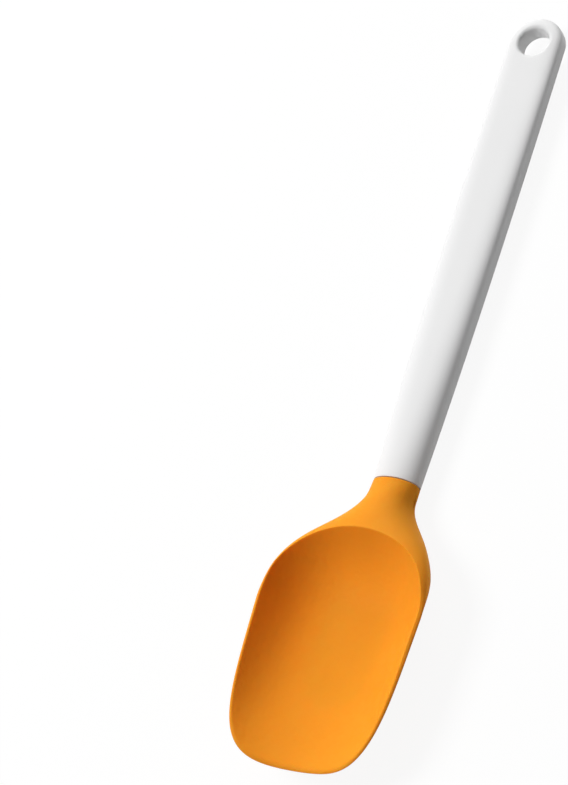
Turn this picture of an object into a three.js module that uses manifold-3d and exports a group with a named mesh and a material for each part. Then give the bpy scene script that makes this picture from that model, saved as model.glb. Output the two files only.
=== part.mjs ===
// A dough spoon: a white handle, a stiff core and a silicone head moulded over the core's blade.
// Millimetres. X runs across the spoon, Y along the handle to its hanging eye, Z up out of the bowl.
// The pieces are drawn from the seam between handle and head, with the handle's axis at z = 0, and the
// finished spoon is set down on its belly with its middle over the origin.
import * as THREE from 'three';
import { LoftGeometry } from 'three/addons/geometries/LoftGeometry.js';
import { mergeVertices } from 'three/addons/utils/BufferGeometryUtils.js';
import Module from 'manifold-3d';

// Play between pieces that are moulded round each other.
const clearance = 0.3;

// Handle: an oval at the seam that flattens into a bar with a round eye.
const handleLength = 171;
const seamWidth = 15.6;
const seamThickness = 12;
const gripWidth = 18.2;
const gripThickness = 9.4;
const eyeWidth = 18.9;
const eyeThickness = 7.2;
const eyePadLength = 14;
const eyeHoleDiameter = 10.5;
const eyeLipRound = 1.3;
const seamRoundness = 2;
const eyeRoundness = 4.5;
const eyeFlatShare = 0.015;

// Head: where its main stations lie below the seam, and how high its lines run over the handle's axis.
const headLength = 97.8;
const bowlWidth = 56.4;
const widestStation = 47;
const crestStation = 21.4;
const rimHeight = 11.9;
const rimLand = 1.1;
const rimBead = 0.85;
const rimFairing = 12;
const tipDip = 6.5;
const tipDipPower = 1.9;
const tipRoundness = 4.4;
const sideTaper = 0.08;
const mouthRoundness = 2.2;
const bellyDrop = 7;
const bowlThickness = 5;

// Steepness of the bowl's inside towards the neck, the sides and the tip, and of the belly below it.
const backWallPower = 3;
const sideWallPower = 3.4;
const tipWallPower = 2;
const bellySidePower = 2.3;
const bellyTipPower = 2;

// Neck: lengths of the easy curves that carry the oval neck out into the bowl.
const neckStraight = 4.5;
const neckFlareStart = 11;
const neckFlareEnd = 25.4;
const sideLineStart = 8.6;
const sideLineLead = 13.4;
const sideLineRun = 29.8;
const topLineLead = 12.5;
const topLineRise = 3.3;
const topLineRun = 11.8;
const topLineCrown = 10.8;
const topLineEnd = 14.96;
const bellyEdgeStart = 29;

// Core: a tang in the handle, a bar through the neck and a dished blade with holes that key the silicone.
const tangLength = 62;
const tangWidth = 8.6;
const tangThickness = 4.8;
const tangEndWidth = 6.8;
const tangEndThickness = 3.6;
const bladeWidth = 21;
const bladeThickness = 1.5;
const bladeReach = 74;
const bladeStart = 9;
const bladeFullStation = 40;
const coreRoundness = 5;
const bladeTipTurn = 75;
const keyHoleDiameter = 4.4;
const keyHolePitch = 11;
const keyHoleCount = 3;

// How finely the round surfaces are cut into facets.
const handleFacets = 40;
const handleStations = 16;
const eyeFacets = 48;
const seamColumns = 14;
const flankColumns = 11;
const rimColumns = 16;
const bowlRows = 11;
const shoulderRows = 4;
const bellyRows = 10;
const coreFacets = 24;
const neckStations = 10;
const bladeStations = 3;
const bladeTipStations = 6;
const lipFacets = 4;
const holeFacets = 24;
const weld = 1e-4;
const tiny = 1e-6;
const halvings = 48;

const wasm = await Module();
wasm.setup();

// Helpers for closed solids.
function solid(geometry) {
  const bare = new THREE.BufferGeometry().setIndex(geometry.index);
  bare.setAttribute('position', geometry.attributes.position);
  const merged = mergeVertices(bare, weld);
  const corners = merged.index.array;
  const triangles = [];
  for (let i = 0; i < corners.length; i += 3) {
    const [a, b, c] = corners.slice(i, i + 3);
    if (a !== b && b !== c && c !== a) triangles.push(a, b, c);
  }
  return new wasm.Manifold(new wasm.Mesh({
    numProp: 3,
    vertProperties: new Float32Array(merged.attributes.position.array),
    triVerts: new Uint32Array(triangles),
  }));
}

function meshOf(name, body, material) {
  const { vertProperties, triVerts } = body.getMesh();
  const geometry = new THREE.BufferGeometry();
  geometry.setAttribute('position', new THREE.BufferAttribute(vertProperties, 3));
  geometry.setIndex(new THREE.BufferAttribute(triVerts, 1));
  geometry.computeVertexNormals();
  const mesh = new THREE.Mesh(geometry, material);
  mesh.name = name;
  return mesh;
}

function upright(profile, facets) {
  return new THREE.LatheGeometry(profile, facets).rotateX(Math.PI / 2);
}

function cylinder(diameter, height, facets) {
  return new THREE.CylinderGeometry(diameter / 2, diameter / 2, height, facets).rotateX(Math.PI / 2);
}

// Helpers for curves.
const quarterTurn = Math.PI / 2;
const { lerp, clamp, smoothstep, degToRad } = THREE.MathUtils;
const signedPower = (value, power) => Math.sign(value) * Math.abs(value) ** power;
const steps = (count) => Array.from({ length: count + 1 }, (_, i) => i / count);

function throughThree(start, middle, end, t) {
  return start * (1 - t) * (1 - 2 * t) + middle * 4 * t * (1 - t) + end * t * (2 * t - 1);
}

function solve(rising, low, high) {
  let [a, b] = [low, high];
  for (let i = 0; i < halvings; i += 1) {
    const mid = (a + b) / 2;
    if (rising(mid) > 0) b = mid;
    else a = mid;
  }
  return (a + b) / 2;
}

// A line of the head, drawn as distance below the seam against a width or a height.
function headLine(...points) {
  const curve = new THREE.CubicBezierCurve(...points.map((point) => new THREE.Vector2(...point)));
  return (below) => curve.getPoint(solve((t) => curve.getPoint(t).x - below, 0, 1)).y;
}

// Points on a flattened oval at the given turns; roundness 2 is an ellipse, and more is squarer.
function oval(halfWidth, halfThickness, roundness, turns) {
  return turns.map((turn) => [
    halfWidth * signedPower(Math.cos(turn), 2 / roundness),
    halfThickness * signedPower(Math.sin(turn), 2 / roundness),
  ]);
}

const fullTurn = (facets) => steps(facets).slice(1).map((t) => t * 2 * Math.PI);

// Handle.
const eyeStation = handleLength - eyeWidth / 2;
const barLength = eyeStation - eyePadLength;

function handleSection(t, turns) {
  const halfWidth = throughThree(seamWidth, gripWidth, eyeWidth, t) / 2;
  const halfThickness = throughThree(seamThickness, gripThickness, eyeThickness, t) / 2;
  const roundness = lerp(seamRoundness, eyeRoundness, t);
  const crown = halfThickness * (1 + eyeFlatShare * t);
  const points = oval(halfWidth, crown, roundness, turns);
  return points.map(([x, z]) => [x, clamp(z, -halfThickness, halfThickness)]);
}

function handleBar() {
  const stations = steps(handleStations).map((t) => [t, clearance + t * (barLength - clearance)]);
  stations.push([1, eyeStation]);
  const turns = fullTurn(handleFacets);
  const sections = stations.map(([t, y]) => (
    handleSection(t, turns).map(([x, z]) => new THREE.Vector3(x, y, -z))));
  return solid(new LoftGeometry(sections, { capStart: true, capEnd: true }));
}

function eyeDisc() {
  const turns = steps(handleFacets / 2).slice(1, -1).map((t) => (t - 0.5) * Math.PI);
  const edge = handleSection(1, turns);
  const profile = [[0, -eyeThickness / 2], ...edge, [0, eyeThickness / 2]];
  const points = profile.map(([r, z]) => new THREE.Vector2(r, z));
  return solid(upright(points, eyeFacets).translate(0, eyeStation, 0));
}

// The cutter for the hanging hole, flared at both ends to round the lips.
function eyeCutter() {
  const radius = eyeHoleDiameter / 2;
  const top = eyeThickness / 2;
  const lip = steps(lipFacets).map((t) => {
    const turn = t * quarterTurn;
    return [radius + eyeLipRound * (1 - Math.cos(turn)), top - eyeLipRound * (1 - Math.sin(turn))];
  });
  const side = [...lip, [radius + eyeLipRound, top + eyeLipRound]];
  const profile = [[0, -top - eyeLipRound], ...side.map(([r, z]) => [r, -z]).reverse()];
  profile.push(...side, [0, top + eyeLipRound]);
  const points = profile.map(([r, z]) => new THREE.Vector2(r, z));
  return solid(upright(points, eyeFacets).translate(0, eyeStation, 0));
}

// Head: the lines that its neck follows down from the seam to the widest part of the bowl.
const bowlHalf = bowlWidth / 2;
const crestDome = rimBead / Math.sqrt(1 - (1 - rimLand / bowlHalf) ** 2);
const floorHeight = bowlThickness - bellyDrop;
const tipReach = headLength - widestStation;

const neckOutline = headLine(
  [neckStraight, seamWidth / 2],
  [neckStraight + neckFlareStart, seamWidth / 2],
  [widestStation - neckFlareEnd, bowlHalf],
  [widestStation, bowlHalf],
);
const sideLine = headLine(
  [sideLineStart, 0],
  [sideLineStart + sideLineLead, 0],
  [widestStation - sideLineRun, rimHeight],
  [widestStation, rimHeight],
);
const topLine = headLine(
  [0, seamThickness / 2],
  [topLineLead, seamThickness / 2 + topLineRise],
  [widestStation - topLineRun, topLineEnd + topLineCrown],
  [widestStation, topLineEnd],
);
const bellyLine = (below) => lerp(-seamThickness / 2, -bellyDrop, smoothstep(below, 0, widestStation));

// How far the neck's top stands over its side line, settling to the dome of the rim's bead.
function crownRise(below) {
  const intoRim = smoothstep(below, widestStation - rimFairing, widestStation);
  return lerp(topLine(below) - sideLine(below), crestDome, intoRim);
}

// Places on the head, told from the widest station: how far out, and how much of that runs lengthways.
const fromPole = (x, below) => Math.hypot(x, below - widestStation);
const lengthways = (x, below) => ((below - widestStation) / Math.max(fromPole(x, below), tiny)) ** 2;

function rimPoint(turn) {
  const along = Math.sin(turn) ** (2 / tipRoundness);
  const x = bowlHalf * (1 - sideTaper * along) * signedPower(Math.cos(turn), 2 / tipRoundness);
  return [x, widestStation + tipReach * along];
}

function rimRadius(x, below) {
  const reach = fromPole(x, below);
  const outside = (r) => {
    const along = ((below - widestStation) / reach) * (r / tipReach);
    const across = ((x / reach) * r) / (bowlHalf * (1 - sideTaper * along));
    return along ** tipRoundness + Math.abs(across) ** tipRoundness - 1;
  };
  return solve(outside, 0, 2 * tipReach);
}

const rimEdgeHeight = (x) => rimHeight - tipDip * Math.max(0, 1 - (x / bowlHalf) ** 2) ** tipDipPower;

function crestRadius(x, below) {
  const reach = fromPole(x, below);
  if (below > widestStation) return rimRadius(x, below) - rimLand;
  const across = Math.abs(x / reach) / (bowlHalf - rimLand);
  const along = Math.abs((widestStation - below) / reach) / (widestStation - crestStation);
  return (across ** mouthRoundness + along ** mouthRoundness) ** (-1 / mouthRoundness);
}

// The outside above the side line: the neck's back, the shoulders and the bead along the rim.
function shoulderHeight(x, below) {
  if (below > widestStation) {
    const edge = rimRadius(x, below);
    const share = Math.min(1, fromPole(x, below) / edge);
    return rimEdgeHeight((x / fromPole(x, below)) * edge) + crestDome * Math.sqrt(1 - share ** 2);
  }
  const share = Math.min(1, Math.abs(x) / neckOutline(below));
  return sideLine(below) + crownRise(below) * Math.sqrt(1 - share ** 2);
}

// The outside below the side line: round under the neck, sharper where the belly meets the rim.
function bellyHeight(x, below) {
  if (below > widestStation) {
    const edge = rimRadius(x, below);
    const share = Math.min(1, fromPole(x, below) / edge);
    const power = lerp(bellySidePower, bellyTipPower, lengthways(x, below));
    const edgeHeight = rimEdgeHeight((x / fromPole(x, below)) * edge);
    return lerp(edgeHeight, -bellyDrop, 1 - share ** power);
  }
  const intoBowl = smoothstep(below, bellyEdgeStart, widestStation);
  const share = Math.min(1, Math.abs(x) / neckOutline(below));
  const fullness = (1 - share ** lerp(2, bellySidePower, intoBowl)) ** (1 / lerp(2, 1, intoBowl));
  return lerp(sideLine(below), bellyLine(below), fullness);
}

// The inside of the bowl, from its floor out to the crest of the rim.
function bowlHeight(x, below) {
  const reach = fromPole(x, below);
  if (reach < tiny) return floorHeight;
  const crest = crestRadius(x, below);
  const toCrest = crest / reach;
  const crestHeight = shoulderHeight(x * toCrest, widestStation + (below - widestStation) * toCrest);
  const endPower = below > widestStation ? tipWallPower : backWallPower;
  const power = lerp(sideWallPower, endPower, lengthways(x, below));
  return lerp(floorHeight, crestHeight, (reach / crest) ** power);
}

// The head's outline seen from above, once round from the middle of the seam by the right side and the tip.
function headOutline() {
  const right = [];
  for (const t of steps(seamColumns / 2)) right.push([(seamWidth / 2) * Math.sin(t * quarterTurn), 0]);
  for (const t of steps(flankColumns).slice(1)) {
    right.push([neckOutline(t * widestStation), t * widestStation]);
  }
  for (const t of steps(rimColumns).slice(1)) right.push(rimPoint(t * quarterTurn));
  const left = right.slice(1, -1).reverse().map(([x, below]) => [-x, below]);
  return [...right, ...left];
}

// The head's whole skin is one loft: out over the bowl's floor to the crest, over the shoulder to the
// outline, and back under the belly.
function headBody() {
  const outline = headOutline();
  const spread = (share, x, below) => [x * share, widestStation + (below - widestStation) * share];
  const ring = (shareOf, height) => outline.map(([x, below]) => {
    const [px, pBelow] = spread(shareOf(x, below), x, below);
    return new THREE.Vector3(px, -pBelow, height(px, pBelow));
  });
  const crestShare = (x, below) => crestRadius(x, below) / fromPole(x, below);
  const sections = [];
  for (const t of steps(bowlRows)) {
    const share = Math.sin(t * quarterTurn);
    sections.push(ring((x, below) => share * crestShare(x, below), bowlHeight));
  }
  for (const t of steps(shoulderRows).slice(1)) {
    const share = Math.sin(t * quarterTurn);
    sections.push(ring((x, below) => lerp(crestShare(x, below), 1, share), shoulderHeight));
  }
  for (const t of steps(bellyRows)) {
    sections.push(ring(() => Math.cos(t * quarterTurn), bellyHeight));
  }
  return solid(new LoftGeometry(sections));
}

// Core: widths, thicknesses and heights along its length, with room added all round for a cutter.
const bladeEnd = bladeReach - bladeWidth / 2;
const bladeFlareMiddle = (bladeStart + bladeFullStation) / 2;
const bladeOutline = headLine(
  [bladeStart, tangWidth / 2],
  [bladeFlareMiddle, tangWidth / 2],
  [bladeFlareMiddle, bladeWidth / 2],
  [bladeFullStation, bladeWidth / 2],
);

function coreHeight(x, below) {
  const station = Math.max(below, bladeFullStation);
  const middleOfWall = (bowlHeight(x, station) + bellyHeight(x, station)) / 2;
  return middleOfWall * smoothstep(below, bladeStart, bladeFullStation);
}

function coreStations(room) {
  const stations = [];
  const tangEnd = tangLength + room;
  stations.push({ below: -tangEnd, halfWidth: tangEndWidth / 2 + room, thickness: tangEndThickness });
  for (const t of steps(neckStations)) {
    const below = t * bladeFullStation;
    const thickness = lerp(tangThickness, bladeThickness, smoothstep(below, bladeStart, bladeFullStation));
    stations.push({ below, halfWidth: bladeOutline(below) + room, thickness });
  }
  const halfBlade = bladeWidth / 2 + room;
  for (const t of steps(bladeStations).slice(1, -1)) {
    const below = lerp(bladeFullStation, bladeEnd, t);
    stations.push({ below, halfWidth: halfBlade, thickness: bladeThickness });
  }
  for (const t of steps(bladeTipStations)) {
    const turn = degToRad(bladeTipTurn * t);
    const below = bladeEnd + halfBlade * Math.sin(turn);
    stations.push({ below, halfWidth: halfBlade * Math.cos(turn), thickness: bladeThickness });
  }
  return stations;
}

function coreBody(room) {
  const turns = fullTurn(coreFacets);
  const sections = coreStations(room).map(({ below, halfWidth, thickness }) => (
    oval(halfWidth, thickness / 2 + room, coreRoundness, turns).map(([x, z]) => (
      new THREE.Vector3(x, -below, coreHeight(x, below) + z)))));
  return solid(new LoftGeometry(sections, { capStart: true, capEnd: true }));
}

// Upright pins through the blade: the holes in the core, and the silicone that fills them.
function keyPins(diameter) {
  const pins = Array.from({ length: keyHoleCount }, (_, i) => {
    const below = bladeFullStation + i * keyHolePitch;
    return solid(cylinder(diameter, 2 * (bellyDrop + rimHeight), holeFacets).translate(0, -below, 0));
  });
  return pins.reduce((all, pin) => all.add(pin));
}

const whitePlastic = new THREE.MeshStandardMaterial({ color: 0xf0f0f2, roughness: 0.5, metalness: 0 });
const orangeSilicone = new THREE.MeshStandardMaterial({ color: 0xf28c22, roughness: 0.6, metalness: 0 });
const paleNylon = new THREE.MeshStandardMaterial({ color: 0xd9d4c6, roughness: 0.55, metalness: 0 });

const corePocket = coreBody(clearance);
const handle = handleBar().add(eyeDisc()).subtract(eyeCutter()).subtract(corePocket);
const core = coreBody(0).subtract(keyPins(keyHoleDiameter));
const siliconePins = keyPins(keyHoleDiameter - 2 * clearance);
const head = headBody().subtract(corePocket.subtract(siliconePins));

const pieces = new THREE.Group();
pieces.add(meshOf('handle', handle, whitePlastic));
pieces.add(meshOf('head_core', core, paleNylon));
pieces.add(meshOf('spoon_head', head, orangeSilicone));
pieces.position.set(0, (headLength - handleLength) / 2, bellyDrop);

const doughSpoon = new THREE.Group();
doughSpoon.add(pieces);

export default doughSpoon;
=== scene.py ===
"""A dough spoon: a white handle with a hanging eye, and a soft orange head over a hidden core.

The spoon lies on its belly. X runs across it, Y along the handle to the eye, Z up out of the bowl.
Shapes are worked out in metres below the seam of handle and head, and above the handle's axis.
"""
import math
from bisect import bisect_right
from collections import namedtuple

import bmesh
import bpy
from bpy.props import FloatProperty, FloatVectorProperty, PointerProperty
from bpy.types import Operator, Panel, PropertyGroup
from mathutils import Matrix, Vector
from mathutils.geometry import interpolate_bezier


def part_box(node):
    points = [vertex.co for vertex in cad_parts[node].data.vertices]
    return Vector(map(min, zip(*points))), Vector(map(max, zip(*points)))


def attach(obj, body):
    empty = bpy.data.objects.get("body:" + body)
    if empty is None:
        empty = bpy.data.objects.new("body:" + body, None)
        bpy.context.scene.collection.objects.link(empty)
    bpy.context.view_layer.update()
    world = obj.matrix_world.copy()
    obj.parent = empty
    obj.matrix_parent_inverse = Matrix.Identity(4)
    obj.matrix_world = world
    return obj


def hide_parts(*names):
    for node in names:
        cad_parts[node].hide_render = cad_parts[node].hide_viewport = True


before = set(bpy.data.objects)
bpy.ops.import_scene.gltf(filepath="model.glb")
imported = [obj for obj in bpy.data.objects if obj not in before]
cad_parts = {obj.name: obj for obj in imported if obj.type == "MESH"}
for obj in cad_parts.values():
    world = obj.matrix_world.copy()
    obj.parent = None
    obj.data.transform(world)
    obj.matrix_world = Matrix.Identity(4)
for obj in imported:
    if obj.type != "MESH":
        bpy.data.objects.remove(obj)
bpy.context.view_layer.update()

bl_info = {
    "name": "Dough Spoon",
    "version": (1, 0, 0),
    "blender": (4, 5, 0),
    "location": "View3D > Sidebar > Dough Spoon",
    "description": "Models a dough spoon with a white handle and an orange silicone head",
    "category": "Add Mesh",
}

head_low, head_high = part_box("spoon_head")
handle_low, handle_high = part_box("handle")
SEAM = head_high.y
AXIS = (handle_low.z + handle_high.z) / 2

# How finely the surfaces are divided.
HANDLE_ACROSS = 16
HANDLE_SIDE = 12
HANDLE_RINGS = 48
SEAM_RINGS = 4
PAD_STEPS = 16
EYE_STEPS = 48
FACE_ROWS = 4
LIP_ROWS = 6
WALL_ROWS = 3
SEAM_COLUMNS = 12
FLANK_COLUMNS = 72
RIM_COLUMNS = 64
TIP_COLUMNS = 34
BOWL_ROWS = 52
SHOULDER_ROWS = 36
BELLY_ROWS = 44
LINE_STEPS = 400
FLOOR_STEPS = 64
MERGE = 1e-6
TINY = 1e-9

# Grain of the finishes: features to a metre, and how deep they are in metres.
PLASTIC_CLOUDS = 45.0
PLASTIC_GRAINS = 2600.0
PLASTIC_GRAIN_DEPTH = 0.00004
SILICONE_CLOUDS = 60.0
SILICONE_PEBBLES = 650.0
SILICONE_PEBBLE_DEPTH = 0.00025
NYLON_STREAKS = 700.0
NYLON_STREAK_SQUEEZE = (1.0, 0.12, 1.0)
NYLON_STREAK_DEPTH = 0.00005

# Stage: lamps are told by their turn from the tip's end, their rise over the floor and their size.
Lamp = namedtuple("Lamp", "turn rise size")
KEY_BOX = Lamp(turn=285, rise=60, size=0.5)
BACK_BOX = Lamp(turn=190, rise=20, size=0.9)
LAMP_DISTANCE = 1.2
FLOOR_RADIUS = 4.0
SENSOR_WIDTH = 36.0
FARTHEST_SEEN = 100.0
WHITE = (1.0, 1.0, 1.0)


# Settings.
def linear(red, green, blue):
    """A screen colour of 0 to 255 as linear light."""
    shares = [level / 255 for level in (red, green, blue)]
    return [s / 12.92 if s <= 0.04045 else ((s + 0.055) / 1.055) ** 2.4 for s in shares]


def length(name, description, default):
    return FloatProperty(
        name=name, description=description, default=default, unit="LENGTH", precision=5
    )


def number(name, description, default, unit="NONE"):
    return FloatProperty(name=name, description=description, default=default, unit=unit)


def colour(name, description, default):
    return FloatVectorProperty(
        name=name, description=description, default=default, subtype="COLOR", min=0, max=1
    )


class HandleSizes(PropertyGroup):
    """Sizes of the handle, an oval at the seam that flattens into a bar with a round eye."""

    length: length("Length", "From the seam to the end of the eye", handle_high.y - SEAM)
    seam_gap: length("Seam gap", "Play between handle and head", handle_low.y - SEAM)
    seam_width: length("Seam width", "Across the oval at the seam", 0.0156)
    seam_thickness: length(
        "Seam thickness", "Through the oval at the seam", handle_high.z - handle_low.z
    )
    grip_width: length("Grip width", "Across the middle of the bar", 0.0182)
    grip_thickness: length("Grip thickness", "Through the middle of the bar", 0.0094)
    eye_width: length("Eye width", "Across the eye", 0.0189)
    eye_thickness: length("Eye thickness", "Through the eye", 0.0072)
    eye_pad: length("Eye pad", "Length of even section below the eye's middle", 0.014)
    hole: length("Hole", "Diameter of the hanging hole", 0.0105)
    hole_lip: length("Hole lip", "Radius of the hole's rounded lips", 0.0013)
    edge_round: length("Edge round", "Radius of the edge at the seam", 0.00015)
    seam_power: number("Seam squareness", "2 is an ellipse, and more is squarer", 2.0)
    eye_power: number("Eye squareness", "2 is an ellipse, and more is squarer", 4.5)
    eye_flat: number("Eye flatness", "Share of the crown that is cut flat at the eye", 0.015)
    pocket_depth: length("Pocket depth", "How far the core's tang reaches in", 0.0623)
    pocket_width: length("Pocket width", "Across the pocket at the seam", 0.0092)
    pocket_thickness: length("Pocket thickness", "Through the pocket at the seam", 0.0054)
    pocket_end_width: length("Pocket end width", "Across the pocket's end", 0.0074)
    pocket_end_thickness: length("Pocket end thickness", "Through the pocket's end", 0.0042)
    pocket_power: number("Pocket squareness", "2 is an ellipse, and more is squarer", 5.0)


class HeadSizes(PropertyGroup):
    """Sizes of the head: stations lie below the seam, and heights over the handle's axis."""

    length: length("Length", "From the seam to the tip", head_high.y - head_low.y)
    width: length("Width", "Across the bowl at its widest", head_high.x - head_low.x)
    widest: length("Widest station", "Where the bowl is widest", 0.047)
    crest: length("Crest station", "Where the bowl ends under the neck", 0.0214)
    rim_height: length("Rim height", "Height of the rim's outer edge", 0.0119)
    rim_land: length("Rim land", "From the outer edge in to the crest", 0.0011)
    rim_bead: length("Rim bead", "How far the crest stands over the outer edge", 0.00085)
    rim_round: length("Rim round", "Depth over which the crest is rounded", 0.0006)
    rim_fairing: length("Rim fairing", "Length in which the crown settles into the rim", 0.012)
    edge_round: length("Edge round", "Depth of the rounding under the outer edge", 0.0004)
    tip_dip: length("Tip dip", "How far the rim drops at the tip", 0.0065)
    tip_dip_power: number("Tip dip power", "How late towards the middle the rim drops", 1.9)
    tip_power: number("Tip squareness", "2 is an ellipse, and more is squarer", 4.4)
    side_taper: number("Side taper", "Share of the width lost towards the tip", 0.08)
    mouth_power: number("Mouth squareness", "2 is an ellipse, and more is squarer", 2.2)
    belly_drop: length("Belly drop", "Depth of the belly", AXIS)
    thickness: length("Thickness", "Silicone and core at the bowl's floor", 0.005)
    back_wall: number("Back wall", "Steepness of the bowl towards the neck", 3.0)
    side_wall: number("Side wall", "Steepness of the bowl's sides", 3.4)
    tip_wall: number("Tip wall", "Steepness of the bowl towards the tip", 2.0)
    belly_side: number("Belly side", "Steepness of the belly's sides", 2.3)
    belly_tip: number("Belly tip", "Steepness of the belly towards the tip", 2.0)
    neck_straight: length("Neck straight", "Length of even width below the seam", 0.0045)
    flare_start: length("Flare start", "Ease of the flare at the neck", 0.011)
    flare_end: length("Flare end", "Ease of the flare at the bowl", 0.0254)
    side_start: length("Side line start", "Where the side line leaves the axis", 0.0086)
    side_lead: length("Side line lead", "Ease of the side line at the neck", 0.0134)
    side_run: length("Side line run", "Ease of the side line at the bowl", 0.0298)
    top_lead: length("Top line lead", "Ease of the top line at the seam", 0.0125)
    top_rise: length("Top line rise", "Rise of the top line over that ease", 0.0033)
    top_run: length("Top line run", "Ease of the top line at the bowl", 0.0118)
    top_crown: length("Top line crown", "Height of the crown before the bowl", 0.0108)
    top_end: length("Top line end", "Height of the top line at the widest station", 0.01496)
    belly_start: length("Belly start", "Where the neck's round underside starts to sharpen", 0.029)
    seam_round: length("Seam round", "Radius of the neck's edge at the seam", 0.0002)
    pocket_room: length("Pocket room", "Play round the core", 0.0003)


class Finishes(PropertyGroup):
    """Colours of the spoon's materials."""

    plastic: colour("Plastic", "The handle", linear(241, 241, 241))
    plastic_shade: colour("Plastic shade", "Faint clouding in the handle", linear(238, 238, 238))
    silicone: colour("Silicone", "The head", linear(250, 159, 44))
    silicone_deep: colour("Silicone deep", "Faint clouding in the head", linear(248, 154, 38))
    nylon: colour("Nylon", "The core", linear(217, 212, 198))
    nylon_streak: colour("Nylon streak", "Flow marks in the core", linear(196, 190, 174))


class StageSettings(PropertyGroup):
    """Camera, lamps and floor."""

    camera_place: FloatVectorProperty(
        name="Camera place", description="Where the camera stands", subtype="TRANSLATION",
        default=(0.45044, -0.38381, 0.80153),
    )
    camera_turn: FloatVectorProperty(
        name="Camera turn", description="How the camera is turned", subtype="EULER",
        default=[math.radians(angle) for angle in (30.7863, 23.8338, 18.9924)],
    )
    camera_lens: number("Lens", "Focal length of the camera", 144.959, unit="CAMERA")
    key_power: number("Key", "Soft box high at the left", 11.8, unit="POWER")
    back_power: number("Back", "Wide box low behind the eye", 8.4, unit="POWER")
    sky: number("Sky", "Strength of the even light from all round", 0.08)
    floor: colour("Floor", "The pale floor", WHITE)
    floor_bounce: colour("Floor bounce", "The floor as the shaded side sees it", (0.75, 0.75, 0.75))
    floor_glow: number("Floor glow", "Share of the floor's white that shadows leave", 0.92)


# Curves.
def lerp(a, b, t):
    return a + (b - a) * t


def clamp(value, low, high):
    return min(max(value, low), high)


def smoothstep(low, high, value):
    t = clamp((value - low) / (high - low), 0.0, 1.0)
    return t * t * (3 - 2 * t)


def through_three(start, middle, end, t):
    """The parabola through three values at 0, a half and 1."""
    return start * (1 - t) * (1 - 2 * t) + middle * 4 * t * (1 - t) + end * t * (2 * t - 1)


def squared_off(share, power):
    """How far an oval reaches across where it has gone this share of the way along."""
    return max(0.0, 1 - abs(share) ** power) ** (1 / power)


def on_oval(u, v, power):
    """Moves a point on the edge of the unit square to the oval inside it."""
    corner = 0.5 ** (1 / power)
    if abs(v) == 1:
        return corner * u, v * squared_off(corner * u, power)
    return u * squared_off(corner * v, power), corner * v


def square_edge(across, side):
    """Points once round the edge of the unit square."""
    right = [(1.0, 2 * i / side - 1) for i in range(side)]
    top = [(1 - 2 * i / across, 1.0) for i in range(across)]
    return right + top + [(-u, -v) for u, v in right + top]


def edge_inset(depth, radius):
    """How far a rounded edge lies inside its corner at this depth from the end."""
    if depth >= radius:
        return 0.0
    return radius - math.sqrt(radius ** 2 - (radius - depth) ** 2)


def soft_min(a, b, depth):
    """The smaller of two heights, with the ridge between them rounded."""
    near = max(0.0, depth - abs(a - b)) / depth
    return min(a, b) - near * near * depth / 4


def drawn_line(*points):
    """A curve through the head's stations, as a function of the distance below the seam."""
    drawn = interpolate_bezier(*[Vector(point) for point in points], LINE_STEPS)
    stations = [point.x for point in drawn]

    def value(below):
        i = clamp(bisect_right(stations, below), 1, LINE_STEPS - 1)
        start, end = drawn[i - 1], drawn[i]
        return lerp(start.y, end.y, clamp((below - start.x) / (end.x - start.x), 0.0, 1.0))

    return value


# Shader nodes.
class Wire:
    """A shader socket: sums on it add Math nodes, and node() adds any other node."""

    def __init__(self, tree, socket=None):
        self.tree = tree
        self.socket = socket

    def node(self, kind, settings=None, inputs=None, output=0):
        made = self.tree.nodes.new(kind)
        for name, value in (settings or {}).items():
            setattr(made, name, value)
        for name, value in (inputs or {}).items():
            if isinstance(value, Wire):
                self.tree.links.new(value.socket, made.inputs[name])
            else:
                made.inputs[name].default_value = value
        return Wire(self.tree, made.outputs[output] if made.outputs else None)

    def math(self, operation, a, b):
        return self.node("ShaderNodeMath", {"operation": operation}, {0: a, 1: b})

    def __add__(self, other):
        return self.math("ADD", self, other)

    __radd__ = __add__

    def __mul__(self, other):
        return self.math("MULTIPLY", self, other)

    def mix(self, first, second):
        """Blends two colours by this wire."""
        inputs = {0: self, 6: opaque(first), 7: opaque(second)}
        return self.node("ShaderNodeMix", {"data_type": "RGBA"}, inputs, 2)

    def noise(self, scale, detail):
        """Noise over the places that this wire gives."""
        inputs = {"Vector": self, "Scale": scale, "Detail": detail}
        return self.node("ShaderNodeTexNoise", None, inputs)

    def bump(self, strength, depth):
        """Normals bent by this wire as a height."""
        inputs = {"Strength": strength, "Distance": depth, "Height": self}
        return self.node("ShaderNodeBump", None, inputs)


def opaque(value):
    return value if isinstance(value, Wire) else (*value, 1.0)


def new_tree(material):
    material.use_nodes = True
    material.node_tree.nodes.clear()
    return Wire(material.node_tree)


def surface(name, build):
    """A material whose inputs come from build(wire, place), with place on the piece itself."""
    material = bpy.data.materials.new(name)
    wire = new_tree(material)
    place = wire.node("ShaderNodeTexCoord", output="Object")
    shader = wire.node("ShaderNodeBsdfPrincipled", None, build(wire, place))
    wire.node("ShaderNodeOutputMaterial", None, {"Surface": shader})
    return material


def white_plastic(finish):
    """Smooth moulded plastic with a fine matt texture and a hint of clouding."""
    def build(wire, place):
        cloud = place.noise(PLASTIC_CLOUDS, detail=3.0)
        grain = place.noise(PLASTIC_GRAINS, detail=2.0)
        return {
            "Base Color": cloud.mix(finish.plastic_shade, finish.plastic),
            "Roughness": 0.5 + cloud * 0.1,
            "Specular IOR Level": 0.05,
            "Normal": grain.bump(0.25, PLASTIC_GRAIN_DEPTH),
        }

    return surface("white_plastic", build)


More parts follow.
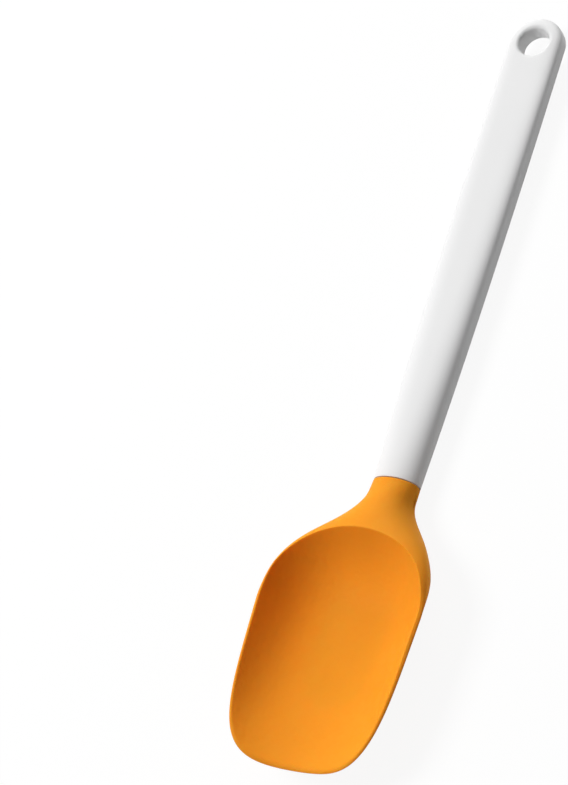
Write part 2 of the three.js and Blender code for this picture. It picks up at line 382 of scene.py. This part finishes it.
def orange_silicone(finish):
    """Matt silicone with a fine pebbled skin."""
    def build(wire, place):
        cloud = place.noise(SILICONE_CLOUDS, detail=3.0)
        pebble = place.noise(SILICONE_PEBBLES, detail=3.0)
        return {
            "Base Color": cloud.mix(finish.silicone_deep, finish.silicone),
            "Roughness": 0.5 + pebble * 0.12,
            "IOR": 1.41,
            "Specular IOR Level": 0.04,
            "Subsurface Weight": 0.3,
            "Subsurface Radius": (1.0, 0.2, 0.05),
            "Subsurface Scale": 0.003,
            "Normal": pebble.bump(0.5, SILICONE_PEBBLE_DEPTH),
        }

    return surface("orange_silicone", build)


def pale_nylon(finish):
    """Glass-filled nylon with flow marks along its length."""
    def build(wire, place):
        squeeze = {"Vector": place, "Scale": NYLON_STREAK_SQUEEZE}
        streak = wire.node("ShaderNodeMapping", None, squeeze).noise(NYLON_STREAKS, detail=4.0)
        return {
            "Base Color": streak.mix(finish.nylon, finish.nylon_streak),
            "Roughness": 0.5 + streak * 0.15,
            "Normal": streak.bump(0.3, NYLON_STREAK_DEPTH),
        }

    return surface("pale_nylon", build)


def seen_directly(wire):
    """1 for what is seen straight on, in a reflection or through glass, and 0 for spread light."""
    kinds = ["Is Camera Ray", "Is Glossy Ray", "Is Transmission Ray"]
    camera, glossy, clear = [wire.node("ShaderNodeLightPath", output=kind) for kind in kinds]
    return camera + glossy + clear


def floor_finish(stage):
    """A white floor that keeps a soft shadow, and is greyer in the light that it throws back."""
    material = bpy.data.materials.new("pale_floor")
    wire = new_tree(material)
    matt = wire.node("ShaderNodeBsdfDiffuse", None, {"Color": opaque(stage.floor)})
    glow = wire.node("ShaderNodeEmission", None, {"Color": opaque(stage.floor), "Strength": 1.0})
    shown = wire.node("ShaderNodeMixShader", None, {0: stage.floor_glow, 1: matt, 2: glow})
    bounce = wire.node("ShaderNodeBsdfDiffuse", None, {"Color": opaque(stage.floor_bounce)})
    both = wire.node("ShaderNodeMixShader", None, {0: seen_directly(wire), 1: bounce, 2: shown})
    wire.node("ShaderNodeOutputMaterial", None, {"Surface": both})
    return material


# Modelling helpers.
def extrude_to(mesh, edges, move):
    """Extrudes a run of edges, puts each new vertex where move says, and returns the new run."""
    made = bmesh.ops.extrude_edge_only(mesh, edges=edges)["geom"]
    fresh = {item for item in made if isinstance(item, bmesh.types.BMVert)}
    for vertex in fresh:
        vertex.co = move(vertex)
    made_edges = [item for item in made if isinstance(item, bmesh.types.BMEdge)]
    return [edge for edge in made_edges if fresh.issuperset(edge.verts)]


def in_frame(x, y, z):
    """A point told from the seam and the handle's axis, in the spoon's frame."""
    return Vector((x, SEAM + y, AXIS + z))


def add_object(context, mesh, name):
    """Links a finished mesh to the scene as an object."""
    data = bpy.data.meshes.new(name)
    mesh.to_mesh(data)
    mesh.free()
    made = bpy.data.objects.new(name, data)
    context.scene.collection.objects.link(made)
    return made


def add_piece(context, mesh, name, material):
    """Links a finished mesh as a smooth piece that moves with the spoon."""
    bmesh.ops.recalc_face_normals(mesh, faces=mesh.faces)
    for face in mesh.faces:
        face.smooth = True
    piece = add_object(context, mesh, name)
    piece.data.materials.append(material)
    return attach(piece, "root")


# Handle.
class HandleShape:
    """The handle's surface, told from the seam and the handle's axis."""

    def __init__(self, sizes):
        self.sizes = sizes
        self.eye = sizes.length - sizes.eye_width / 2
        self.bar = self.eye - sizes.eye_pad

    def section(self, y):
        """Half the width and crown, the squareness and the height of the flat, at a station."""
        s = self.sizes
        t = clamp(y / self.bar, 0.0, 1.0)
        inset = edge_inset(y - s.seam_gap, s.edge_round)
        width = through_three(s.seam_width, s.grip_width, s.eye_width, t)
        thickness = through_three(s.seam_thickness, s.grip_thickness, s.eye_thickness, t)
        flat = thickness / 2 - inset
        power = lerp(s.seam_power, s.eye_power, t)
        return width / 2 - inset, flat * (1 + s.eye_flat * t), power, flat

    def ring_point(self, u, v, y):
        half_width, crown, power, flat = self.section(y)
        x, z = on_oval(u, v, power)
        return in_frame(half_width * x, y, clamp(crown * z, -flat, flat))

    def pocket_point(self, u, v, y):
        s = self.sizes
        t = (y - s.seam_gap) / (s.pocket_depth - s.seam_gap)
        x, z = on_oval(u, v, s.pocket_power)
        half_width = lerp(s.pocket_width, s.pocket_end_width, t) / 2
        half_thickness = lerp(s.pocket_thickness, s.pocket_end_thickness, t) / 2
        return in_frame(half_width * x, y, half_thickness * z)

    def top(self, x, y):
        """Height of the front face near the eye, which is turned about the eye's middle past it."""
        half_width, crown, power, flat = self.section(y)
        across = math.hypot(x, max(0.0, y - self.eye)) / half_width
        return min(flat, crown * squared_off(min(1.0, across), power))

    def hole_point(self, x, y, row, rows):
        """A point of the face, lip or wall round the hanging hole, on the ray through (x, y)."""
        s = self.sizes
        reach = math.hypot(x, y - self.eye)
        radius = s.hole / 2
        depth = min(row, rows - row)
        lip_turn = clamp((depth - FACE_ROWS) / LIP_ROWS, 0.0, 1.0) * math.pi / 2
        face_share = min(1.0, depth / FACE_ROWS)
        out = lerp(reach, radius + s.hole_lip, face_share) - s.hole_lip * math.sin(lip_turn)
        hole_x = x / reach * out
        hole_y = self.eye + (y - self.eye) / reach * out
        height = self.top(hole_x, hole_y) - s.hole_lip * (1 - math.cos(lip_turn))
        height *= 1 - max(0.0, (depth - FACE_ROWS - LIP_ROWS) / WALL_ROWS)
        return in_frame(hole_x, hole_y, height if 2 * row < rows else -height)


def handle_mesh(sizes):
    """The handle as one skin: rings along the bar, a side turned round the eye, and the hole."""
    shape = HandleShape(sizes)
    mesh = bmesh.new()
    square = square_edge(HANDLE_ACROSS, HANDLE_SIDE)
    place = mesh.verts.layers.float_vector.new("place")
    bmesh.ops.create_circle(mesh, segments=len(square), radius=sizes.seam_width)
    for vertex, (u, v) in zip(mesh.verts, square):
        vertex[place] = (u, v, 0)
        vertex.co = shape.pocket_point(u, v, sizes.pocket_depth)
    ring = mesh.edges[:]
    bmesh.ops.contextual_create(mesh, geom=ring)

    def onto(point, y):
        return lambda vertex: point(vertex[place].x, vertex[place].y, y)

    ring = extrude_to(mesh, ring, onto(shape.pocket_point, sizes.seam_gap))
    for i in range(SEAM_RINGS):
        depth = sizes.edge_round * (1 - math.cos(i / SEAM_RINGS * math.pi / 2))
        ring = extrude_to(mesh, ring, onto(shape.ring_point, sizes.seam_gap + depth))
    bar_start = sizes.seam_gap + sizes.edge_round
    for i in range(HANDLE_RINGS + 1):
        station = lerp(bar_start, shape.bar, i / HANDLE_RINGS)
        ring = extrude_to(mesh, ring, onto(shape.ring_point, station))

    side = [edge for edge in ring if all(vertex[place].x == 1 for vertex in edge.verts)]
    corner_x = min(vertex.co.x for edge in side for vertex in edge.verts)
    first_angle = math.atan2(sizes.eye_pad, corner_x)
    angles = [first_angle * (1 - i / PAD_STEPS) for i in range(PAD_STEPS + 1)]
    stations = [shape.eye - corner_x * math.tan(angle) for angle in angles]

    def slide(y):
        return lambda vertex: Vector((vertex.co.x, SEAM + y, vertex.co.z))

    for station in stations[1:]:
        side = extrude_to(mesh, side, slide(station))
    middle = in_frame(0, shape.eye, 0)
    turned = bmesh.ops.spin(
        mesh, geom=side, cent=middle, axis=(0, 0, 1), angle=math.pi, steps=EYE_STEPS
    )["geom_last"]
    side = [item for item in turned if isinstance(item, bmesh.types.BMEdge)]
    for station in reversed(stations[:-1]):
        side = extrude_to(mesh, side, slide(station))
    bmesh.ops.remove_doubles(mesh, verts=mesh.verts, dist=MERGE)

    openings = [edge for edge in mesh.edges if edge.is_boundary]
    walls = bmesh.ops.bridge_loops(mesh, edges=openings)["edges"]
    rows = 2 * (FACE_ROWS + LIP_ROWS + WALL_ROWS)
    cut = bmesh.ops.subdivide_edges(mesh, edges=walls, cuts=rows - 1, use_grid_fill=True)
    for vertex in cut["geom_inner"]:
        if isinstance(vertex, bmesh.types.BMVert):
            x, y, z = vertex.co.x, vertex.co.y - SEAM, vertex.co.z - AXIS
            row = round((1 - z / shape.top(x, y)) / 2 * rows)
            vertex.co = shape.hole_point(x, y, row, rows)
    return mesh


# Head.
Column = namedtuple("Column", "crest outline front reach edge")


class HeadShape:
    """The head's surfaces, told in distance across, distance below the seam and height."""

    def __init__(self, sizes, seam_width, seam_thickness):
        s = sizes
        self.sizes = s
        self.half = s.width / 2
        self.dome = s.rim_bead / math.sqrt(1 - (1 - s.rim_land / self.half) ** 2)
        self.floor = s.thickness - s.belly_drop
        self.tip_reach = s.length - s.widest
        self.seam_half = seam_width / 2
        self.seam_top = seam_thickness / 2
        self.neck_line = drawn_line(
            (s.neck_straight, self.seam_half),
            (s.neck_straight + s.flare_start, self.seam_half),
            (s.widest - s.flare_end, self.half),
            (s.widest, self.half),
        )
        self.side_line = drawn_line(
            (s.side_start, 0),
            (s.side_start + s.side_lead, 0),
            (s.widest - s.side_run, s.rim_height),
            (s.widest, s.rim_height),
        )
        self.crown_line = drawn_line(
            (0, self.seam_top),
            (s.top_lead, self.seam_top + s.top_rise),
            (s.widest - s.top_run, s.top_end + s.top_crown),
            (s.widest, s.top_end),
        )

    def neck_half(self, below):
        return self.neck_line(below) - edge_inset(below, self.sizes.seam_round)

    def crown_rise(self, below):
        """How far the neck's top stands over its side line, settling to the rim's dome."""
        s = self.sizes
        rise = self.crown_line(below) - self.side_line(below) - edge_inset(below, s.seam_round)
        return lerp(rise, self.dome, smoothstep(s.widest - s.rim_fairing, s.widest, below))

    def belly_line(self, below):
        s = self.sizes
        line = lerp(-self.seam_top, -s.belly_drop, smoothstep(0, s.widest, below))
        return line + edge_inset(below, s.seam_round)

    def from_pole(self, x, below):
        return math.hypot(x, below - self.sizes.widest)

    def rim_edge(self, x):
        """Height of the rim's outer edge, which dips towards the middle of the tip."""
        s = self.sizes
        return s.rim_height - s.tip_dip * max(0.0, 1 - (x / self.half) ** 2) ** s.tip_dip_power

    def mouth_reach(self, x, below):
        """From the widest station's middle to the crest under the neck, in this direction."""
        s = self.sizes
        out = self.from_pole(x, below)
        across = abs(x) / out / (self.half - s.rim_land)
        along = abs(s.widest - below) / out / (s.widest - s.crest)
        return (across ** s.mouth_power + along ** s.mouth_power) ** (-1 / s.mouth_power)

    def crest_reach(self, column, x, below):
        return column.reach - self.sizes.rim_land if column.front else self.mouth_reach(x, below)

    def shoulder(self, column, x, below):
        """The outside above the side line: the neck's top, the shoulders and the rim's bead."""
        if column.front:
            share = min(1.0, self.from_pole(x, below) / column.reach)
            return column.edge + self.dome * math.sqrt(1 - share ** 2)
        share = min(1.0, abs(x) / self.neck_half(below))
        return self.side_line(below) + self.crown_rise(below) * math.sqrt(1 - share ** 2)

    def bowl(self, column, x, below):
        """The inside of the bowl, from its floor up to the crest and on."""
        s = self.sizes
        out = self.from_pole(x, below)
        if out < TINY:
            return self.floor
        crest = self.crest_reach(column, x, below)
        crest_x = x * crest / out
        crest_below = s.widest + (below - s.widest) * crest / out
        lengthways = ((below - s.widest) / out) ** 2
        power = lerp(s.side_wall, s.tip_wall if column.front else s.back_wall, lengthways)
        return lerp(self.floor, self.shoulder(column, crest_x, crest_below), (out / crest) ** power)

    def top(self, column, x, below):
        """Bowl and shoulder with the crest between them rounded over."""
        bowl = self.bowl(column, x, below)
        return soft_min(bowl, self.shoulder(column, x, below), self.sizes.rim_round)

    def belly(self, column, x, below):
        """The outside below the side line: round under the neck, fuller under the bowl."""
        s = self.sizes
        if column.front:
            share = min(1.0, self.from_pole(x, below) / column.reach)
            lengthways = ((below - s.widest) / max(self.from_pole(x, below), TINY)) ** 2
            full = 1 - share ** lerp(s.belly_side, s.belly_tip, lengthways)
            return lerp(column.edge, -s.belly_drop, self.rolled(full))
        into_bowl = smoothstep(s.belly_start, s.widest, below)
        share = min(1.0, abs(x) / self.neck_half(below))
        full = 1 - share ** lerp(2.0, s.belly_side, into_bowl)
        full = lerp(math.sqrt(full), self.rolled(full), into_bowl)
        return lerp(self.side_line(below), self.belly_line(below), full)

    def rolled(self, full):
        """Rolls the belly's start over, so that it leaves the rim upright."""
        roll = self.sizes.edge_round / (self.sizes.rim_height + self.sizes.belly_drop)
        return math.sqrt(full * (full + 2 * roll) / (1 + 2 * roll))

    def columns(self):
        """Once round the head from the middle of the seam, by the right side and the tip."""
        s = self.sizes
        back = SEAM_COLUMNS + FLANK_COLUMNS
        right = []
        for i in range(back + 1):
            turn = i / back * math.pi / 2
            crest_x = (self.half - s.rim_land) * math.sin(turn) ** (2 / s.mouth_power)
            crest_below = s.widest - (s.widest - s.crest) * math.cos(turn) ** (2 / s.mouth_power)
            below = s.widest * max(0.0, (i - SEAM_COLUMNS) / FLANK_COLUMNS)
            seam_turn = min(1.0, i / SEAM_COLUMNS) * math.pi / 2
            outline = (self.neck_half(below) * math.sin(seam_turn), below)
            right.append(Column((crest_x, crest_below), outline, False, 0.0, 0.0))
        right += [self.rim_column(1.0, i / RIM_COLUMNS) for i in range(1, RIM_COLUMNS + 1)]
        right += [self.rim_column(1 - i / TIP_COLUMNS, 1.0) for i in range(1, TIP_COLUMNS + 1)]
        left = []
        for column in reversed(right[1:-1]):
            crest_x, crest_below = column.crest
            x, below = column.outline
            left.append(column._replace(crest=(-crest_x, crest_below), outline=(-x, below)))
        return right + left

    def rim_column(self, u, v):
        """A column of the bowl's front, which ends on the rounded square of the tip."""
        s = self.sizes
        across, along = on_oval(u, v, s.tip_power)
        x = self.half * (1 - s.side_taper * along) * across
        below = s.widest + self.tip_reach * along
        reach = self.from_pole(x, below)
        inner = 1 - s.rim_land / reach
        crest = (x * inner, s.widest + (below - s.widest) * inner)
        return Column(crest, (x, below), True, reach, self.rim_edge(x))

    def point(self, column, row):
        """A point of the skin: rows run from the bowl's floor over the crest to the belly."""
        pole = (0.0, self.sizes.widest)
        if row <= BOWL_ROWS:
            share = math.sin(row / BOWL_ROWS * math.pi / 2)
            start, end, height = pole, column.crest, self.top
        elif row <= BOWL_ROWS + SHOULDER_ROWS:
            share = (1 - math.cos((row - BOWL_ROWS) / SHOULDER_ROWS * math.pi)) / 2
            start, end, height = column.crest, column.outline, self.top
        else:
            share = math.cos((row - BOWL_ROWS - SHOULDER_ROWS - 1) / BELLY_ROWS * math.pi / 2)
            start, end, height = pole, column.outline, self.belly
        x = lerp(start[0], end[0], share)
        below = lerp(start[1], end[1], share)
        return in_frame(x, -below, height(column, x, below))


def head_mesh(sizes, handle_sizes):
    """The head's skin: a ball whose rows and columns are laid over bowl, neck and belly."""
    shape = HeadShape(sizes, handle_sizes.seam_width, handle_sizes.seam_thickness)
    columns = shape.columns()
    rows = BOWL_ROWS + SHOULDER_ROWS + 1 + BELLY_ROWS
    mesh = bmesh.new()
    bmesh.ops.create_uvsphere(mesh, u_segments=len(columns), v_segments=rows, radius=1.0)
    for vertex in mesh.verts:
        row = round(math.acos(clamp(vertex.co.z, -1.0, 1.0)) / math.pi * rows)
        turn = math.atan2(vertex.co.y, vertex.co.x) / math.tau
        vertex.co = shape.point(columns[round(turn * len(columns)) % len(columns)], row)
    bmesh.ops.remove_doubles(mesh, verts=mesh.verts, dist=MERGE)
    return mesh


def cut_pocket(context, piece, node, room):
    """Cuts the space of a solid, with room all round, out of a piece.

    The cutter's ring in the plane of the seam moves out of that plane, for a clean edge there. What the
    cut leaves that is too small to see is closed up.
    """
    cutter_mesh = bmesh.new()
    cutter_mesh.from_mesh(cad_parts[node].data)
    bmesh.ops.remove_doubles(cutter_mesh, verts=cutter_mesh.verts, dist=MERGE)
    cutter_mesh.normal_update()
    for vertex, normal in [(vertex, vertex.normal.copy()) for vertex in cutter_mesh.verts]:
        vertex.co += normal * room * vertex.calc_shell_factor()
        if abs(vertex.co.y - SEAM) < room:
            vertex.co.y += room
    cutter = add_object(context, cutter_mesh, "pocket_cutter")
    pocket = piece.modifiers.new("pocket", "BOOLEAN")
    pocket.operation = "DIFFERENCE"
    pocket.solver = "EXACT"
    pocket.object = cutter
    solid = piece.evaluated_get(context.evaluated_depsgraph_get())
    piece.data = bpy.data.meshes.new_from_object(solid)
    piece.modifiers.clear()
    bpy.data.objects.remove(cutter)
    cut = bmesh.new()
    cut.from_mesh(piece.data)
    bmesh.ops.remove_doubles(cut, verts=cut.verts, dist=MERGE)
    bmesh.ops.dissolve_degenerate(cut, dist=MERGE, edges=cut.edges)
    cut.to_mesh(piece.data)
    cut.free()


# Operators.
class SPOON_OT_handle(Operator):
    """Models the white handle with its hanging eye"""

    bl_idname = "spoon.handle"
    bl_label = "Handle"

    def execute(self, context):
        scene = context.scene
        material = white_plastic(scene.spoon_finishes)
        piece = add_piece(context, handle_mesh(scene.spoon_handle), "handle_body", material)
        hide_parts("handle")
        return {"FINISHED"}


class SPOON_OT_head(Operator):
    """Models the silicone head with its bowl, rim and neck"""

    bl_idname = "spoon.head"
    bl_label = "Head"

    def execute(self, context):
        scene = context.scene
        material = orange_silicone(scene.spoon_finishes)
        mesh = head_mesh(scene.spoon_head, scene.spoon_handle)
        piece = add_piece(context, mesh, "head_skin", material)
        cut_pocket(context, piece, "head_core", scene.spoon_head.pocket_room)
        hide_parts("spoon_head")
        return {"FINISHED"}


class SPOON_OT_core(Operator):
    """Gives the stiff core inside the head its nylon finish"""

    bl_idname = "spoon.core"
    bl_label = "Core"

    def execute(self, context):
        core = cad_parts["head_core"]
        core.data.materials.clear()
        core.data.materials.append(pale_nylon(context.scene.spoon_finishes))
        return {"FINISHED"}


def soft_box(context, name, lamp, power):
    """A square lamp that faces the spoon."""
    light = bpy.data.lights.new(name, "AREA")
    light.shape = "SQUARE"
    light.size = lamp.size
    light.energy = power
    box = bpy.data.objects.new(name, light)
    turn = math.radians(lamp.turn)
    rise = math.radians(lamp.rise)
    flat = math.cos(rise)
    out = Vector((math.sin(turn) * flat, -math.cos(turn) * flat, math.sin(rise)))
    box.location = LAMP_DISTANCE * out
    box.rotation_euler = out.to_track_quat("Z", "Y").to_euler()
    context.scene.collection.objects.link(box)


class SPOON_OT_stage(Operator):
    """Sets up the camera, the lamps and a pale floor"""

    bl_idname = "spoon.stage"
    bl_label = "Stage"

    def execute(self, context):
        scene = context.scene
        stage = scene.spoon_stage
        camera = bpy.data.cameras.new("camera")
        camera.lens = stage.camera_lens
        camera.sensor_width = SENSOR_WIDTH
        camera.clip_end = FARTHEST_SEEN
        view = bpy.data.objects.new("camera", camera)
        view.location = stage.camera_place
        view.rotation_euler = stage.camera_turn
        scene.collection.objects.link(view)
        scene.camera = view

        disc = bmesh.new()
        bmesh.ops.create_circle(disc, cap_ends=True, segments=FLOOR_STEPS, radius=FLOOR_RADIUS)
        floor = add_object(context, disc, "floor")
        floor.data.materials.append(floor_finish(stage))

        soft_box(context, "key_box", KEY_BOX, stage.key_power)
        soft_box(context, "back_box", BACK_BOX, stage.back_power)

        world = bpy.data.worlds.new("studio")
        scene.world = world
        wire = new_tree(world)
        even_light = {"Color": opaque(WHITE), "Strength": stage.sky}
        even = wire.node("ShaderNodeBackground", None, even_light)
        white_light = {"Color": opaque(WHITE), "Strength": 1.0}
        white = wire.node("ShaderNodeBackground", None, white_light)
        both = wire.node("ShaderNodeMixShader", None, {0: seen_directly(wire), 1: even, 2: white})
        wire.node("ShaderNodeOutputWorld", None, {"Surface": both})
        scene.view_settings.view_transform = "Standard"
        return {"FINISHED"}


OPERATORS = [SPOON_OT_handle, SPOON_OT_head, SPOON_OT_core, SPOON_OT_stage]
GROUPS = {
    "spoon_handle": HandleSizes,
    "spoon_head": HeadSizes,
    "spoon_finishes": Finishes,
    "spoon_stage": StageSettings,
}


class SPOON_PT_panel(Panel):
    """Lists the spoon's pieces and their settings"""

    bl_idname = "SPOON_PT_panel"
    bl_label = "Dough Spoon"
    bl_space_type = "VIEW_3D"
    bl_region_type = "UI"
    bl_category = "Dough Spoon"

    def draw(self, context):
        for operator in OPERATORS:
            self.layout.operator(operator.bl_idname)
        for name, group in GROUPS.items():
            box = self.layout.box()
            for setting in group.__annotations__:
                box.prop(getattr(context.scene, name), setting)


CLASSES = [*GROUPS.values(), *OPERATORS, SPOON_PT_panel]


def register():
    for kind in CLASSES:
        bpy.utils.register_class(kind)
    for name, group in GROUPS.items():
        setattr(bpy.types.Scene, name, PointerProperty(type=group))


def unregister():
    for name in GROUPS:
        delattr(bpy.types.Scene, name)
    for kind in reversed(CLASSES):
        bpy.utils.unregister_class(kind)


def main():
    register()
    bpy.ops.spoon.handle()
    bpy.ops.spoon.head()
    bpy.ops.spoon.core()
    bpy.ops.spoon.stage()


if __name__ == "__main__":
    main()
